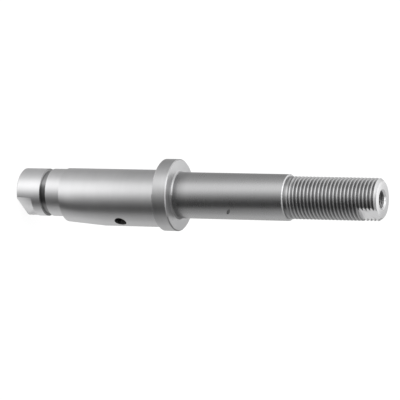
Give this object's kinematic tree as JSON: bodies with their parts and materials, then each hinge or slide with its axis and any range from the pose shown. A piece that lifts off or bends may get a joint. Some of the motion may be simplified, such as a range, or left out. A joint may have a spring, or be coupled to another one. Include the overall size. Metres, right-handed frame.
{
  "type": "brake anchor pin",
  "caption": "Stepped steel brake anchor pin with an off-centre shoe journal, a seating collar, a plain shank, a threaded end and a grease way.",
  "frame": {"origin": "centre of the spigot end face, on the main turning axis", "axes": "+Z along the main axis from the spigot end to the threaded end; -Y towards the high side of the off-centre journal, the two flats and the grease outlet"},
  "size_m": [0.0375, 0.0374, 0.201],
  "materials": {
    "steel": "bare turned and ground steel with fine marks round the axis"
  },
  "bodies": {
    "root": {"anchor_pin": "steel"}
  },
  "joints": []
}
